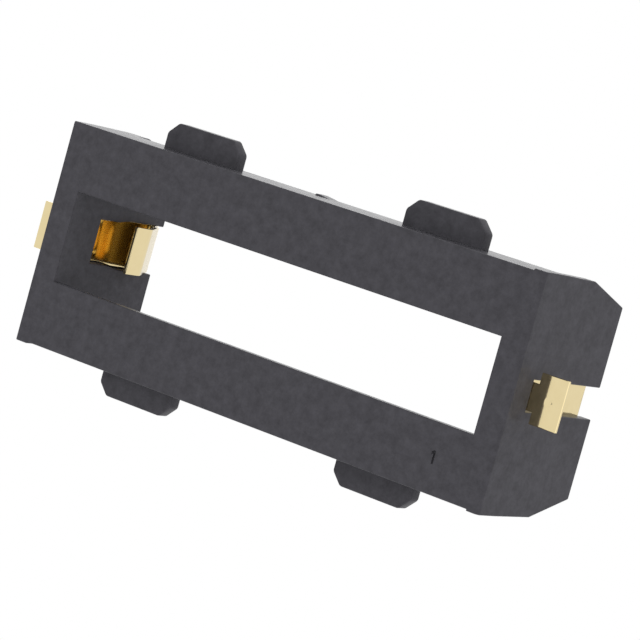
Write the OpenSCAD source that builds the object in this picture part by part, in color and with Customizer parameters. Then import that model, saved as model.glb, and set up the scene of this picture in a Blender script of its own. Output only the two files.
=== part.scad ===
// Through-board holder for one small cylindrical cell: a moulded cradle with four seating wings,
// and a gold-plated leaf contact in the pocket of each end wall.
// Length runs along X and width along Y, and the cell goes in from +Z.
// The origin is at the middle of the flat underside. All sizes are in millimetres.

/* [Cell] */
// Diameter of the cell that the cradle is made for
cell_d = 12; // [11.6:0.1:12.2]
// Gap between the cell and the cradle all round
cell_play = 0.15; // [0.05:0.05:0.25]
// Height of the cell's axis above the underside
cell_z = 6.1; // [6:0.05:6.3]

/* [Body] */
// Length over the outsides of the end walls
body_l = 34.9; // [34.5:0.1:36]
// Width over the end walls
body_w = 13.8; // [13.5:0.1:14.4]
// Height of the end walls
end_h = 8.9; // [8.4:0.1:9.4]
// Height of the side walls
side_h = 4.2; // [3.4:0.1:4.8]
// Thickness of the end walls
end_t = 1.7; // [1.5:0.05:2]
// Thickness of the plate that stands proud along the outside of each end wall
plate_t = 0.85; // [0.6:0.05:1.1]
// Height of the plate's step above the side walls
plate_step = 0.1; // [0.05:0.01:0.15]
// Draft of the sides above the parting line at the board's surface, in degrees
draft = 1; // [0.5:0.25:2]
// Width of the window in the underside
window_w = 5.6; // [4.8:0.1:6.4]
// Width of the slope on each upper corner of an end wall
corner_w = 1.25; // [0.8:0.05:1.6]
// Height of the slope on each upper corner of an end wall
corner_h = 3.6; // [2.8:0.1:4]

/* [Wings] */
// Height of the board's surface above the underside
board_z = 1.85; // [1.6:0.05:2.1]
// Length of a wing along the side wall
wing_l = 5.6; // [4.4:0.1:6.4]
// Distance from the middle of the holder to the middle of a wing
wing_x = 9; // [7.5:0.1:10.5]
// Reach of a wing beyond the width of the end walls
wing_reach = 1.55; // [1.2:0.05:2.2]
// Thickness of a wing
wing_t = 0.8; // [0.6:0.05:1.1]
// Size of the cut on each outer corner of a wing
wing_cut = 0.7; // [0.4:0.05:1]

/* [Contact] */
// Thickness of the contact strip
strip_t = 0.25; // [0.2:0.01:0.3]
// Width of the contact strip
strip_w = 2.95; // [2.7:0.05:3.2]
// Width of the strip where it enters its pocket
entry_w = 2.65; // [2.3:0.05:2.65]
// Width of the neck between the strip and its solder foot
neck_w = 1.6; // [1.2:0.05:1.8]
// Reach of a solder foot beyond its end wall
foot_reach = 2.15; // [1.8:0.05:2.8]
// Distance that the nose of the leaf stands in front of its end wall
nose_reach = 1.45; // [1.3:0.05:1.6]
// Outer radius of the fold at the top of the leaf
fold_r = 0.4; // [0.36:0.01:0.44]
// Outer radius of the nose that presses on the cell
nose_r = 1; // [0.6:0.1:1.2]
// Slope of the leaf above its nose, in degrees from upright
arm_lean = 32; // [30:0.5:34]
// Slope of the tail below the nose, in degrees from upright
tail_lean = 0.5; // [0:0.5:4]
// Height of the tail's free edge above the underside
tail_z = 4.65; // [4.4:0.05:4.9]

/* [Pocket] */
// Depth of the contact's pocket in the end wall
pocket_d = 0.95; // [0.85:0.05:1.05]
// Height of the pocket's floor above the underside
pocket_z = 2.85; // [2.75:0.05:3]
// Gap at each side of the strip in its pocket
pocket_play = 0.05; // [0.02:0.01:0.1]
// Gap at each side of the neck in its notch
notch_play = 0.13; // [0.08:0.01:0.2]

/* [Hidden] */
$fn = 96;
// Facets in each bend of the contact strip
bend_steps = 14;
// Cuts run this far past the faces that they open
over = 1;
inner_l = body_l - 2 * end_t;
end_half = body_w / 2;
side_half = end_half - plate_step;
plate_x = body_l / 2 - plate_t;
// A wing runs this far into its side wall
wing_root = 0.4;
cradle_r = cell_d / 2 + cell_play;
// Back of the pocket, which the base of the leaf stands against
seat_x = inner_l / 2 + pocket_d;
// Height of the narrower entry above the pocket's floor, and of the taper from there to full width
entry_h = 1.75;
taper_h = 1;
entry_top = pocket_z + entry_h;
// The neck is bent outwards round this inner radius
neck_bend_r = 0.4;
// Length of the neck that shows outside the end wall
neck_out = 0.35;
// The notch starts this far in front of the neck's inner face
notch_front = 0.05;
// The top of the fold is level with the top of the end wall
fold_z = end_h - fold_r;
// Coined dimple in the middle of the solder foot
dimple_d = 0.56;
dimple_depth = 0.05;
dimple_r = (pow(dimple_d / 2, 2) + pow(dimple_depth, 2)) / (2 * dimple_depth);
// Stub left where the runner was trimmed off at a slant, on one side wall
gate_x = -0.4;
gate_z = 3.2;
gate_l = 1.5;
gate_flat = 0.3;
gate_h = 0.9;
gate_reach = 0.08;
// The stub runs this far into its side wall
gate_root = 0.4;

foot_x = body_l / 2 + foot_reach;
wide_x = body_l / 2 + neck_out;
neck_bend_x = seat_x + neck_bend_r;
base_z = board_z + strip_t + neck_bend_r;
fold_x = seat_x - fold_r;
nose_x = inner_l / 2 - nose_reach;
nose_cx = nose_x + nose_r;
// The arm leaves the fold and meets the nose on the same slope
arm_angle = 180 - arm_lean;
tail_angle = 180 + tail_lean;
arm_start = [fold_x, fold_z] + fold_r * dir(arm_angle);
arm_run = (arm_start.x - (nose_cx + nose_r * cos(arm_angle))) / sin(arm_lean);
nose_cz = arm_start.y - arm_run * cos(arm_lean) - nose_r * sin(arm_angle);
tail_start = [nose_cx, nose_cz] + nose_r * dir(tail_angle);
tail_run = (tail_start.y - tail_z) / cos(tail_lean);

function dir(angle) = [cos(angle), sin(angle)];

function reverse(list) = [for (i = [len(list) - 1 : -1 : 0]) list[i]];

// Points of a bend about a centre, from one angle to another
function arc(centre, r, from, to) =
    [for (i = [0 : bend_steps]) centre + r * dir(from + (to - from) * i / bend_steps)];

// Stands an outline drawn in Y and Z up along +X
module along_x(length) {
    rotate([90, 0, 90])
        linear_extrude(length)
            children();
}

// Draws the child at both ends of the holder
module both_ends() {
    for (end = [0, 1])
        mirror([end, 0, 0])
            children();
}

// Draws the child on both sides of the holder
module both_sides() {
    for (side = [0, 1])
        mirror([0, side, 0])
            children();
}

// Half of a cross-section, upright below the board's surface and drafted above it
function drafted(half, top) = [
    [half, 0],
    [half, board_z],
    [half - (top - board_z) * tan(draft), top]
];

// Draws half of a cross-section together with its mirror image
module mirrored_outline(half_outline) {
    opposite = [for (point = reverse(half_outline)) [-point.x, point.y]];
    polygon(concat(half_outline, opposite));
}

// Seen from the end, the upper corners of a wall slope inwards
module end_outline(half) {
    mirrored_outline(concat(drafted(half, end_h - corner_h), [[end_half - corner_w, end_h]]));
}

// The outer part of an end wall is a plate that stands proud of the sides
module end_wall() {
    translate([inner_l / 2, 0, 0])
        along_x(end_t)
            end_outline(side_half);
    translate([plate_x, 0, 0])
        along_x(plate_t)
            end_outline(end_half);
}

module rails() {
    translate([-inner_l / 2, 0, 0])
        along_x(inner_l)
            mirrored_outline(drafted(side_half, side_h));
}

// A wing is rooted in the side wall, and its outer corners are cut off
module wing() {
    root = side_half - wing_root;
    tip = end_half + wing_reach;
    half = wing_l / 2;
    translate([wing_x, 0, board_z])
        linear_extrude(wing_t)
            polygon([
                [-half, root],
                [half, root],
                [half, tip - wing_cut],
                [half - wing_cut, tip],
                [wing_cut - half, tip],
                [-half, tip - wing_cut]
            ]);
}

// The stub is highest at one end and slopes down into the wall at the other
module gate_stub() {
    half = gate_l / 2;
    root = gate_root - side_half;
    tip = -side_half - gate_reach;
    translate([gate_x, 0, gate_z])
        linear_extrude(gate_h)
            polygon([
                [-half, root],
                [-half, tip],
                [gate_flat - half, tip],
                [half, gate_reach - side_half],
                [half, root]
            ]);
}

// The cradle is a trough that opens upwards
module cradle() {
    translate([-inner_l / 2, 0, cell_z])
        rotate([0, 90, 0])
            cylinder(r = cradle_r, h = inner_l);
}

module window() {
    translate([-inner_l / 2, -window_w / 2, -over])
        cube([inner_l, window_w, cell_z + over]);
}

// The leaf stands in a pocket that narrows with it, and its neck leaves through a notch behind it
module contact_seat() {
    entry_half = entry_w / 2 + pocket_play;
    strip_half = strip_w / 2 + pocket_play;
    notch_w = neck_w + 2 * notch_play;
    notch_x = seat_x - strip_t - notch_front;
    translate([inner_l / 2 - over, 0, 0])
        along_x(pocket_d + over)
            mirrored_outline([
                [entry_half, pocket_z],
                [entry_half, entry_top],
                [strip_half, entry_top + taper_h],
                [strip_half, end_h + over]
            ]);
    translate([notch_x, -notch_w / 2, board_z])
        cube([body_l / 2 - notch_x + over, notch_w, end_h]);
}

module body() {
    color("#454348")
        difference() {
            union() {
                rails();
                both_ends() end_wall();
                both_ends() both_sides() wing();
                gate_stub();
            }
            cradle();
            window();
            both_ends() contact_seat();
        }
}

// One face of the strip seen from the side, from foot to tail, at a depth below its outer face
function strip_face(depth) = concat(
    [[foot_x, board_z + strip_t - depth]],
    arc([neck_bend_x, base_z], neck_bend_r + depth, 270, 180),
    arc([fold_x, fold_z], fold_r - depth, 0, arm_angle),
    arc([nose_cx, nose_cz], nose_r - depth, arm_angle, tail_angle),
    [[nose_cx, nose_cz] + (nose_r - depth) * dir(tail_angle) + tail_run * dir(tail_angle + 90)]
);

// Side view of the contact: foot, neck, base, fold, arm, nose and tail, in one strip
module contact_profile() {
    polygon(concat(strip_face(0), reverse(strip_face(strip_t))));
}

// Trims both sides of the strip, between two places along X, to an outline drawn in Y and Z
module trim(x0, x1, outline) {
    both_sides()
        translate([x0, 0, 0])
            along_x(x1 - x0)
                polygon(outline);
}

module contact() {
    base_x = seat_x - strip_t - over;
    neck_outline = [
        [neck_w / 2, board_z - over],
        [strip_w, board_z - over],
        [strip_w, pocket_z],
        [neck_w / 2, pocket_z]
    ];
    entry_outline = [
        [entry_w / 2, pocket_z - over],
        [strip_w, pocket_z - over],
        [strip_w, entry_top + taper_h],
        [strip_w / 2, entry_top + taper_h],
        [entry_w / 2, entry_top]
    ];
    color("#d9b65c")
        difference() {
            rotate([90, 0, 0])
                linear_extrude(strip_w, center = true)
                    contact_profile();
            trim(base_x, wide_x, neck_outline);
            trim(base_x, seat_x + over, entry_outline);
            translate([(wide_x + foot_x) / 2, 0, board_z + dimple_depth - dimple_r])
                sphere(dimple_r);
        }
}

module left_contact() {
    mirror([1, 0, 0])
        contact();
}

module right_contact() {
    contact();
}

body();
left_contact();
right_contact();
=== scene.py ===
# %% [markdown]
# # A holder for one small cell, dressed for the camera
#
# The holder is a charcoal nylon moulding with a gold-plated leaf contact in each end wall.
# Its solids come ready made from the frame, in metres,
# with the origin at the middle of the flat underside.
# This lesson keeps every solid where it is and gives it what the frame leaves out:
# rounded edges, the engraved cavity number, the finishes, the light and the camera.

import math

import bmesh
import bpy
from mathutils import Matrix, Vector


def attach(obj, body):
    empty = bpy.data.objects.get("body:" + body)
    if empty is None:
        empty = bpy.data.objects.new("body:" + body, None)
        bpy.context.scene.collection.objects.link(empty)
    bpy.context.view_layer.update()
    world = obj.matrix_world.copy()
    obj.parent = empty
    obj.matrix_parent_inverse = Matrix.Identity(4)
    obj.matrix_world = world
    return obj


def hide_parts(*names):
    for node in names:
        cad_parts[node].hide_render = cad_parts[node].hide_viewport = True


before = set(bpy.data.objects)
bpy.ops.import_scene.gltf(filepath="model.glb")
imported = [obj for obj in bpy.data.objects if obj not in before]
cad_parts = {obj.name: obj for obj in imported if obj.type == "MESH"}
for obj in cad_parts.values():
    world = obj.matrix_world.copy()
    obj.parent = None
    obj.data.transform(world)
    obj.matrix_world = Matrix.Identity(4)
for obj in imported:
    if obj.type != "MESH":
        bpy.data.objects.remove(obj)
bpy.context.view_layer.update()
mm = 0.001
print("frame nodes:", sorted(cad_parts))

# %% [markdown]
# ## The camera
#
# The holder is seen from below, so its flat underside faces the viewer
# and the window shows the white behind it.
# The place of a camera can be guessed and nudged,
# or worked out from straight edges whose real sizes are known.
# The second way was used: the corners of the underside and of the end walls
# give one place and one focal length.

# %% Place the camera
scene = bpy.context.scene
camera_place = Vector((112.847, -18.354, -154.494)) * mm
camera_right = Vector((0.77255, -0.26681, 0.57618))
camera_up = Vector((-0.27165, -0.95907, -0.07989))
camera_back = camera_right.cross(camera_up)

bpy.ops.object.camera_add()
camera = bpy.context.object
camera.name = "camera"
camera.data.lens = 188.87
camera.data.sensor_width = 36.0
camera.data.clip_start = 0.01
camera.data.clip_end = 20.0
turned = Matrix((camera_right, camera_up, camera_back)).transposed().to_4x4()
camera.matrix_world = Matrix.Translation(camera_place) @ turned
scene.camera = camera
print("camera", round(camera_place.length, 3), "m from the origin")
print("lens", round(camera.data.lens, 1), "mm")

# %% [markdown]
# ## The surround
#
# The holder hangs in an even white surround, as in a light tent,
# so its charcoal faces differ only a little.
# Lamps alone would need many to be so even, so a white world does most of it.
# The camera sees the world as white.
# The nylon is lit a little below that, and the gold mirrors about as much.
# Dark gaps stay dark by themselves, because less of the world reaches into them.

# %% Make the white surround
def blank_nodes(owner):
    owner.use_nodes = True
    owner.node_tree.nodes.clear()
    return owner.node_tree.nodes, owner.node_tree.links


scene.view_settings.view_transform = "Standard"
seen_level, lit_level, mirrored_level = 1.0, 0.86, 0.79

surround = bpy.data.worlds.new("white_surround")
scene.world = surround
nodes, links = blank_nodes(surround)
ray = nodes.new("ShaderNodeLightPath")
lit = nodes.new("ShaderNodeMapRange")
lit.inputs["To Min"].default_value = lit_level
lit.inputs["To Max"].default_value = mirrored_level
links.new(ray.outputs["Is Glossy Ray"], lit.inputs["Value"])
seen = nodes.new("ShaderNodeMath")
seen.operation = "MAXIMUM"
links.new(ray.outputs["Is Camera Ray"], seen.inputs[0])
links.new(ray.outputs["Is Transmission Ray"], seen.inputs[1])
level = nodes.new("ShaderNodeMapRange")
level.inputs["To Max"].default_value = seen_level
links.new(seen.outputs[0], level.inputs["Value"])
links.new(lit.outputs["Result"], level.inputs["To Min"])
sky = nodes.new("ShaderNodeBackground")
sky.inputs["Color"].default_value = (1.0, 1.0, 1.0, 1.0)
links.new(level.outputs["Result"], sky.inputs["Strength"])
sky_out = nodes.new("ShaderNodeOutputWorld")
links.new(sky.outputs[0], sky_out.inputs["Surface"])
print("world nodes:", len(nodes))

# %% [markdown]
# ## The lamps
#
# A broad soft lamp stands on the left, above the open side of the holder
# and behind it as the camera sees it.
# The upright side wall catches it at a flat angle as a pale band, and the leaf's arm just misses it.
# A weaker one at the front gives the faces some shape in views from above.
# The third is a faint card of light on the right,
# which the cut end of the right solder foot mirrors as a thin bright line.
# One bright lamp could do all this with hard shadows.
# Three soft ones keep the plain look of a light tent.

# %% Set up the lamps
def soft_lamp(name, place, length, width, watts):
    bpy.ops.object.light_add(type="AREA", location=place)
    lamp = bpy.context.object
    lamp.name = name
    lamp.data.shape = "RECTANGLE"
    lamp.data.size, lamp.data.size_y = length, width
    lamp.data.energy = watts
    lamp.rotation_euler = (-Vector(place)).to_track_quat("-Z", "Y").to_euler()
    lamp.visible_camera = False
    return lamp


lamps = [
    soft_lamp("lamp_left", (-0.455, 0.03, 0.36), 0.50, 0.50, 0.74),
    soft_lamp("lamp_front", (-0.15, -0.50, 0.30), 0.30, 0.30, 0.35),
    soft_lamp("lamp_right", (0.41, 0.05, 0.31), 0.25, 0.12, 0.028),
]
# Light meets the gold up to seven times inside the fold before it leaves again.
scene.cycles.glossy_bounces = 12
print("lamps:", [(lamp.name, round(lamp.data.energy, 3)) for lamp in lamps])

# %% [markdown]
# ## The floor
#
# A pale floor lies under the holder and takes its shadow in views from above.
# It could be a box or a curved sheet, but a plain square is enough, as its edges are far away.
# It lies a hair below the underside, so that the two never share a plane.

# %% Lay the floor
floor_width, floor_level = 8.0, -0.02 * mm

bpy.ops.object.select_all(action="DESELECT")
bpy.ops.mesh.primitive_plane_add(size=floor_width, location=(0.0, 0.0, floor_level))
floor = bpy.context.object
floor.name = "floor"
print("floor", floor.dimensions.x, "m wide")

# %% [markdown]
# ## The floor's finish
#
# A real sheet of card would do for views from above. But the main camera looks up from below,
# and there a plain floor would hide the holder and keep the light from its underside.
# The material is therefore see-through, except to rays from the camera that meet its upper face.

# %% Make the floor pale from above
floor_pale = bpy.data.materials.new("floor_pale")
nodes, links = blank_nodes(floor_pale)
ray = nodes.new("ShaderNodeLightPath")
side = nodes.new("ShaderNodeNewGeometry")
from_above = nodes.new("ShaderNodeMath")
from_above.operation = "SUBTRACT"
from_above.use_clamp = True
links.new(ray.outputs["Is Camera Ray"], from_above.inputs[0])
links.new(side.outputs["Backfacing"], from_above.inputs[1])
clear = nodes.new("ShaderNodeBsdfTransparent")
pale = nodes.new("ShaderNodeBsdfDiffuse")
pale.inputs["Color"].default_value = (0.9, 0.9, 0.9, 1.0)
either = nodes.new("ShaderNodeMixShader")
links.new(from_above.outputs[0], either.inputs["Fac"])
links.new(clear.outputs[0], either.inputs[1])
links.new(pale.outputs[0], either.inputs[2])
floor_out = nodes.new("ShaderNodeOutputMaterial")
links.new(either.outputs[0], floor_out.inputs["Surface"])
floor.data.materials.append(floor_pale)
print("floor nodes:", len(nodes))

# %% [markdown]
# ## A shared grain
#
# Both the eroded steel of the mould and the rolled metal strip leave a fine grain on the surface.
# It could be an image, but noise on Object coordinates has no seams
# and keeps its size on every piece.
# One node group makes it, with the size as an input,
# and each finish uses the grain in its own way.

# %% Make the grain group
def grain_group():
    group = bpy.data.node_groups.new("surface_grain", "ShaderNodeTree")
    group.interface.new_socket("Scale", in_out="INPUT", socket_type="NodeSocketFloat")
    group.interface.new_socket("Fine", in_out="OUTPUT", socket_type="NodeSocketFloat")
    group.interface.new_socket("Broad", in_out="OUTPUT", socket_type="NodeSocketFloat")
    nodes, links = group.nodes, group.links
    given = nodes.new("NodeGroupInput")
    made = nodes.new("NodeGroupOutput")
    place = nodes.new("ShaderNodeTexCoord")
    fine = nodes.new("ShaderNodeTexNoise")
    fine.inputs["Detail"].default_value = 4.0
    fine.inputs["Roughness"].default_value = 0.75
    wider = nodes.new("ShaderNodeMath")
    wider.operation = "MULTIPLY"
    wider.inputs[1].default_value = 0.25
    broad = nodes.new("ShaderNodeTexNoise")
    broad.inputs["Detail"].default_value = 2.0
    links.new(place.outputs["Object"], fine.inputs["Vector"])
    links.new(place.outputs["Object"], broad.inputs["Vector"])
    links.new(given.outputs["Scale"], fine.inputs["Scale"])
    links.new(given.outputs["Scale"], wider.inputs[0])
    links.new(wider.outputs[0], broad.inputs["Scale"])
    links.new(fine.outputs["Fac"], made.inputs["Fine"])
    links.new(broad.outputs["Fac"], made.inputs["Broad"])
    return group


surface_grain = grain_group()
sockets = surface_grain.interface.items_tree
print("grain group outputs:", [socket.name for socket in sockets if socket.in_out == "OUTPUT"])

# %% [markdown]
# ## How a grained finish is wired
#
# Nylon and gold look nothing alike, yet the grain acts on both in three ways:
# it shifts the tone, the gloss and the relief.
# Each material could be wired by itself. One function does the wiring for both
# and hands back the inputs that a finish still has to set. The nylon is wired first.

# %% Wire the nylon
def grained_finish(name, grain_scale, tone_grain):
    material = bpy.data.materials.new(name)
    nodes, links = blank_nodes(material)
    grain = nodes.new("ShaderNodeGroup")
    grain.node_tree = surface_grain
    grain.inputs["Scale"].default_value = grain_scale
    tone = nodes.new("ShaderNodeMix")
    tone.data_type = "RGBA"
    gloss = nodes.new("ShaderNodeMapRange")
    relief = nodes.new("ShaderNodeBump")
    skin = nodes.new("ShaderNodeBsdfPrincipled")
    shown = nodes.new("ShaderNodeOutputMaterial")
    links.new(grain.outputs[tone_grain], tone.inputs["Factor"])
    links.new(grain.outputs["Fine"], gloss.inputs["Value"])
    links.new(grain.outputs["Fine"], relief.inputs["Height"])
    links.new(tone.outputs["Result"], skin.inputs["Base Color"])
    links.new(gloss.outputs["Result"], skin.inputs["Roughness"])
    links.new(relief.outputs["Normal"], skin.inputs["Normal"])
    links.new(skin.outputs[0], shown.inputs["Surface"])
    return material, tone.inputs, gloss.inputs, relief.inputs, skin.inputs


nylon_grain_scale = 1400.0
nylon_finish, tone, gloss, relief, nylon = grained_finish(
    "charcoal_nylon", nylon_grain_scale, "Fine")
print("nylon nodes:", len(nylon_finish.node_tree.nodes))

# %% [markdown]
# ## Charcoal nylon
#
# The moulding is glass-filled nylon, dyed charcoal, with the matt look of a spark-eroded mould.
# A flat grey would look like card, so the fine grain shifts the tone,
# as the glass fibres near the surface do.
# It also breaks up the gloss as a shallow bump.
# The gloss itself is low and shows mainly at flat angles.

# %% Set the nylon's values
tone["A"].default_value = (0.034, 0.0328, 0.0366, 1.0)
tone["B"].default_value = (0.110, 0.1071, 0.1223, 1.0)
gloss["To Min"].default_value = 0.24
gloss["To Max"].default_value = 0.40
relief["Strength"].default_value = 0.35
relief["Distance"].default_value = 0.008 * mm
nylon["IOR"].default_value = 1.5
nylon["Specular IOR Level"].default_value = 0.08
print("nylon gloss level:", round(nylon["Specular IOR Level"].default_value, 2))

# %% [markdown]
# ## Gold plate
#
# The contacts are spring strip, stamped, bent and gold-plated.
# The plating is thin and follows the rolled strip below it,
# so it mirrors its surround with a slight blur.
# A yellow paint would stay yellow everywhere.
# A metallic surface takes its whole look from what it reflects,
# and the deep orange inside the fold comes from light that meets the gold several times.

# %% Mix the gold plate
gold_grain_scale = 6000.0
gold_finish, tone, gloss, relief, gold = grained_finish("gold_plate", gold_grain_scale, "Broad")
tone["A"].default_value = (0.925, 0.765, 0.43, 1.0)
tone["B"].default_value = (0.985, 0.835, 0.49, 1.0)
gloss["To Min"].default_value = 0.07
gloss["To Max"].default_value = 0.10
relief["Strength"].default_value = 0.04
relief["Distance"].default_value = 0.004 * mm
gold["Metallic"].default_value = 1.0
print("gold nodes:", len(gold_finish.node_tree.nodes))

# %% [markdown]
# ## The moulding
#
# The moulding is one piece of nylon:
# two side walls, two end walls and four seating wings round a window.
# It could be modelled again from cubes, but its solid is in the frame already, as loose triangles.
# A copy is merged into one skin and its flat faces are joined up again,
# so that its edges can be picked and rounded.

# %% Copy a solid as one clean skin
joined_within = 0.001 * mm
sliver = 0.002 * mm
flat_angle = math.radians(0.2)


def select_only(piece):
    bpy.ops.object.select_all(action="DESELECT")
    piece.select_set(True)
    bpy.context.view_layer.objects.active = piece


def join_flat_faces():
    bpy.ops.mesh.select_all(action="SELECT")
    bpy.ops.mesh.remove_doubles(threshold=joined_within)
    bpy.ops.mesh.dissolve_degenerate(threshold=sliver)
    bpy.ops.mesh.dissolve_limited(angle_limit=flat_angle)


def skin_of(node, name):
    piece = bpy.data.objects.new(name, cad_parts[node].data.copy())
    scene.collection.objects.link(piece)
    piece.data.materials.clear()
    select_only(piece)
    bpy.ops.object.mode_set(mode="EDIT")
    join_flat_faces()
    bpy.ops.object.mode_set(mode="OBJECT")
    return piece


moulding = skin_of("body", "moulding")
print("moulding skin:", len(moulding.data.polygons), "faces")

# %% [markdown]
# ## The flush side of the left plate
#
# A plate stands a little proud of each end wall.
# On this sample the left one is flush with the wall along one side.
# That side could be cut off with a boolean.
# Moving its corners in is simpler, and the faces that then meet are joined.

# %% Trim the plate
plate_begins, plate_side = -16.5 * mm, -6.81 * mm
plate_proud = 0.1 * mm


def select_corners(piece, belongs):
    # The piece stays in edit mode, so that the next operator moves the selected corners.
    select_only(piece)
    bpy.ops.object.mode_set(mode="EDIT")
    bpy.ops.mesh.select_mode(type="VERT")
    bpy.ops.mesh.select_all(action="DESELECT")
    skin = bmesh.from_edit_mesh(piece.data)
    for corner in skin.verts:
        corner.select_set(belongs(corner.co))
    bmesh.update_edit_mesh(piece.data)
    return sum(corner.select for corner in skin.verts)


def on_left_plate_side(place):
    return place.x < plate_begins and place.y < plate_side


trimmed = select_corners(moulding, on_left_plate_side)
bpy.ops.transform.translate(value=(0.0, plate_proud, 0.0))
join_flat_faces()
bpy.ops.object.mode_set(mode="OBJECT")
print("trimmed", trimmed, "corners of the plate")

# %% [markdown]
# ## The soft lower edge of the right end
#
# The edge between the underside and the right end wall is rounder than the others,
# so the two faces run softly together.
# A bump could fake that in the material, but then the outline would stay sharp.
# The edge is picked by its place and its direction, and rounded with the bevel operator.

# %% Round the right end's lower edge
end_begins, slack = 17.0 * mm, 0.01 * mm
end_radius, end_segments = 0.22 * mm, 4
mostly, along_y = 0.9, 1


def round_edges(piece, belongs, radius, segments):
    select_only(piece)
    bpy.ops.object.mode_set(mode="EDIT")
    bpy.ops.mesh.select_mode(type="EDGE")
    bpy.ops.mesh.select_all(action="DESELECT")
    skin = bmesh.from_edit_mesh(piece.data)
    count = 0
    for edge in skin.edges:
        if belongs(edge):
            edge.select_set(True)
            count += 1
    bmesh.update_edit_mesh(piece.data)
    bpy.ops.mesh.bevel(offset=radius, segments=segments, affect="EDGES", clamp_overlap=False)
    bpy.ops.object.mode_set(mode="OBJECT")
    return count


def runs(edge, axis):
    run = edge.verts[1].co - edge.verts[0].co
    return abs(run[axis]) > mostly * run.length


def at_right_end(edge):
    low = all(corner.co.z < slack for corner in edge.verts)
    return low and all(corner.co.x > end_begins for corner in edge.verts) and runs(edge, along_y)


rounded = round_edges(moulding, at_right_end, end_radius, end_segments)
print("rounded", rounded, "lower edges of the right end")

# %% [markdown]
# ## The corners of the wings
#
# The wings are flat tabs with cut corners,
# and a milled mould leaves a small radius at each upright corner.
# They could be rounded with all other edges, but their radius is larger,
# so they get a bevel of their own first.

# %% Round the wings' corners
wing_begins, along_z = 7.2 * mm, 2
wing_radius, edge_segments = 0.12 * mm, 3


def upright_on_wing(edge):
    return runs(edge, along_z) and min(abs(corner.co.y) for corner in edge.verts) > wing_begins


rounded = round_edges(moulding, upright_on_wing, wing_radius, edge_segments)
print("rounded", rounded, "corners of the wings")

# %% [markdown]
# ## All other outer edges
#
# A mould is never perfectly sharp, so every outer edge of the nylon
# has a small radius that catches a thin line of light.
# A Bevel modifier could do it, but the operator lets each edge be tested:
# only those that stick out are rounded.
# Inner corners stay sharp, as the steel core makes them.

# %% Round the outer edges
sharp_angle = math.radians(25)
nylon_radius = 0.07 * mm


def sticks_out(edge):
    return edge.is_manifold and edge.is_convex and edge.calc_face_angle() > sharp_angle


rounded = round_edges(moulding, sticks_out, nylon_radius, edge_segments)
print("rounded", rounded, "edges of the moulding")

# %% [markdown]
# ## The cavity number
#
# A plain figure one is cut into the underside,
# to tell which cavity of the mould the part came from.
# It could be drawn in the material, but a real groove keeps its shadow from every side.
# A cutter is shaped from a cube: the stem first, then a short flag drawn out of its upper end.

# %% Shape the cutter
stem_x, stem_top, stem_foot = 13.68 * mm, 4.36 * mm, 5.12 * mm
stem_width, groove_depth = 0.14 * mm, 0.12 * mm
flag_foot = stem_top + 0.16 * mm
flag_reach = (-0.13 * mm, 0.12 * mm, 0.0)

bpy.ops.object.select_all(action="DESELECT")
bpy.ops.mesh.primitive_cube_add(size=1.0)
cutter = bpy.context.object
cutter.name = "figure_cutter"
cutter.scale = (stem_width, stem_foot - stem_top, 2 * groove_depth)
cutter.location = (stem_x, (stem_top + stem_foot) / 2, 0.0)
bpy.ops.object.transform_apply(location=True, rotation=True, scale=True)
bpy.ops.object.mode_set(mode="EDIT")
bpy.ops.mesh.select_all(action="SELECT")
bpy.ops.mesh.bisect(plane_co=(0.0, flag_foot, 0.0), plane_no=(0.0, 1.0, 0.0))
bpy.ops.mesh.select_mode(type="FACE")
bpy.ops.mesh.select_all(action="DESELECT")
skin = bmesh.from_edit_mesh(cutter.data)
for face in skin.faces:
    face.select_set(face.normal.x < -mostly and face.calc_center_median().y < flag_foot)
bmesh.update_edit_mesh(cutter.data)
bpy.ops.mesh.extrude_region_move(TRANSFORM_OT_translate={"value": flag_reach})
bpy.ops.object.mode_set(mode="OBJECT")
print("figure cutter:", len(cutter.data.polygons), "faces")

# %% [markdown]
# ## Cutting the figure
#
# On the real mould the figure stands proud of the steel, so it comes out as a groove in the nylon.
# Its outline could be drawn on the face with a knife, but that tool needs a window.
# A boolean takes the cutter from the moulding instead, and the cutter is then thrown away.

# %% Cut the figure
select_only(moulding)
groove = moulding.modifiers.new("cavity_number", "BOOLEAN")
groove.operation = "DIFFERENCE"
groove.solver = "EXACT"
groove.object = cutter
bpy.ops.object.modifier_apply(modifier=groove.name)
bpy.data.objects.remove(cutter)
print("moulding with its figure:", len(moulding.data.polygons), "faces")

# %% [markdown]
# ## Even shading
#
# Moulded faces are flat right up to their rounded edges.
# Smooth shading alone would bend the light all over a large face.
# Weighted normals let the large faces keep their own direction,
# and only the narrow rounded strips turn.
# The gold needs this most, because it mirrors every small turn.
# The dressed copy then takes the place of its solid.

# %% Smooth the moulding and hand it over
smooth_below = math.radians(32)
large_faces_first = 100


def smooth_skin(piece, finish):
    select_only(piece)
    bpy.ops.object.shade_smooth_by_angle(angle=smooth_below)
    even = piece.modifiers.new("even_normals", "WEIGHTED_NORMAL")
    even.keep_sharp = True
    even.weight = large_faces_first
    bpy.ops.object.modifier_apply(modifier=even.name)
    piece.data.materials.clear()
    piece.data.materials.append(finish)


smooth_skin(moulding, nylon_finish)
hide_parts("body")
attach(moulding, "root")
print("moulding size in mm:", [round(size / mm, 2) for size in moulding.dimensions])

# %% [markdown]
# ## The contacts
#
# Each contact is one strip: solder foot, neck, base, fold, arm, nose and tail.
# It could be bent again from a flat plane, but its solid in the frame has every bend at its place.
# So each strip starts as the moulding did, with a copy of its solid as one clean skin.

# %% Copy both strips
ends = {"left_contact": -1, "right_contact": 1}
strips = {node: skin_of(node, node + "_strip") for node in ends}
print("strip skins:", {node: len(strip.data.polygons) for node, strip in strips.items()})

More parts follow.
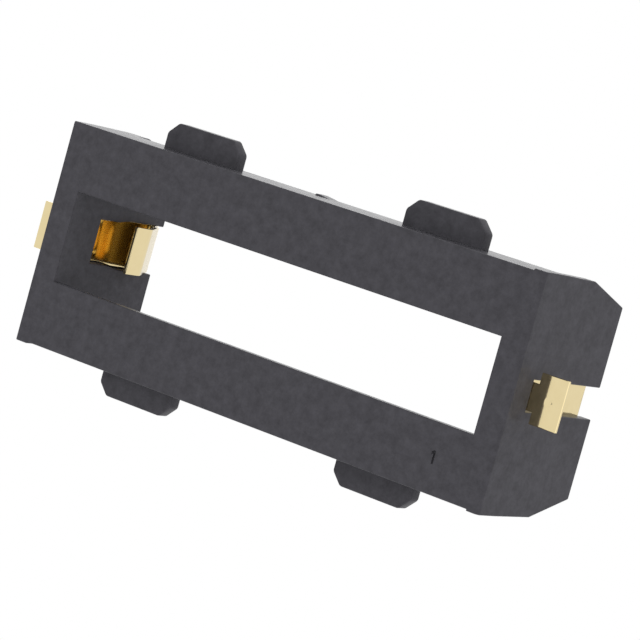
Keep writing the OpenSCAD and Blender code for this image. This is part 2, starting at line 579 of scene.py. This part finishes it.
# %% [markdown]
# ## The slight twist of the leaf
#
# A bent strip springs back unevenly,
# so its free leaf stands about two degrees askew to its base.
# That could be left out on a plain part, but here two mirrors face each other,
# and the light between them wanders off sideways.
# The corners of the base and of the leaf are picked by their place
# and turned a little against each other.

# %% Turn the base and the leaf
base_middle, base_begins, base_ends = 16.58 * mm, 16.4 * mm, 16.8 * mm
base_foot, base_top = 2.4 * mm, 8.52 * mm
leaf_begins = 16.18 * mm
base_turn, leaf_turn = math.radians(1.0), math.radians(-0.8)


def in_base(place):
    return base_begins < abs(place.x) < base_ends and base_foot < place.z < base_top


def in_leaf(place):
    return abs(place.x) < leaf_begins


for node, strip in strips.items():
    middle = (ends[node] * base_middle, 0.0, 0.0)
    for belongs, turn in ((in_base, base_turn), (in_leaf, leaf_turn)):
        corners = select_corners(strip, belongs)
        bpy.ops.transform.rotate(value=turn, orient_axis="Z", center_override=middle)
        bpy.ops.object.mode_set(mode="OBJECT")
        print(strip.name, "turned", corners, "corners by", round(math.degrees(turn), 1), "degrees")

# %% [markdown]
# ## The cut ends of the feet
#
# Each foot is sheared off its carrier strip, and a sheared end often leans a little.
# Its tilt could come from a bump, but a bump can't turn a whole face evenly.
# The lower corners of the end are moved in,
# so that the right one mirrors the card of light on that side.

# %% Lean the cut ends
board_level, foot_end = 1.85 * mm, 19.5 * mm
cut_lean = 0.035 * mm


def at_cut_end(place):
    return abs(place.x) > foot_end and place.z < board_level + slack


for node, strip in strips.items():
    corners = select_corners(strip, at_cut_end)
    bpy.ops.transform.translate(value=(-ends[node] * cut_lean, 0.0, 0.0))
    bpy.ops.object.mode_set(mode="OBJECT")
    print(strip.name, "moved", corners, "corners of the cut end")

# %% [markdown]
# ## The dimples in the feet
#
# A punch has coined a shallow dimple into each foot, to grip the solder.
# A new one could be cut with a sphere, but the solid has one already, a little deeper and narrower.
# So its corners are only flattened and spread about its middle.

# %% Flatten the dimples
dimple_middle, dimple_reach, dimple_height = 18.7 * mm, 0.5 * mm, 0.1 * mm
dimple_change = (1.2, 1.2, 0.45)


def in_dimple(place):
    near = math.hypot(abs(place.x) - dimple_middle, place.y) < dimple_reach
    return near and abs(place.z - board_level) < dimple_height


for node, strip in strips.items():
    corners = select_corners(strip, in_dimple)
    middle = (ends[node] * dimple_middle, 0.0, board_level)
    bpy.ops.transform.resize(value=dimple_change, center_override=middle)
    bpy.ops.object.mode_set(mode="OBJECT")
    print(strip.name, "flattened", corners, "corners of the dimple")

# %% [markdown]
# ## The edges of the strips
#
# Stamping and plating leave the strip's edges slightly rounded,
# and each catches a thin bright line.
# The edges could stay sharp at this size,
# but then no line would part one gold face from the next.
# They get the same bevel as the moulding, only smaller, and then the gold finish.

# %% Round and finish both strips
strip_radius = 0.05 * mm

for node, strip in strips.items():
    rounded = round_edges(strip, sticks_out, strip_radius, edge_segments)
    smooth_skin(strip, gold_finish)
    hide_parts(node)
    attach(strip, "root")
    print(node, "rounded", rounded, "edges,", len(strip.data.polygons), "faces")
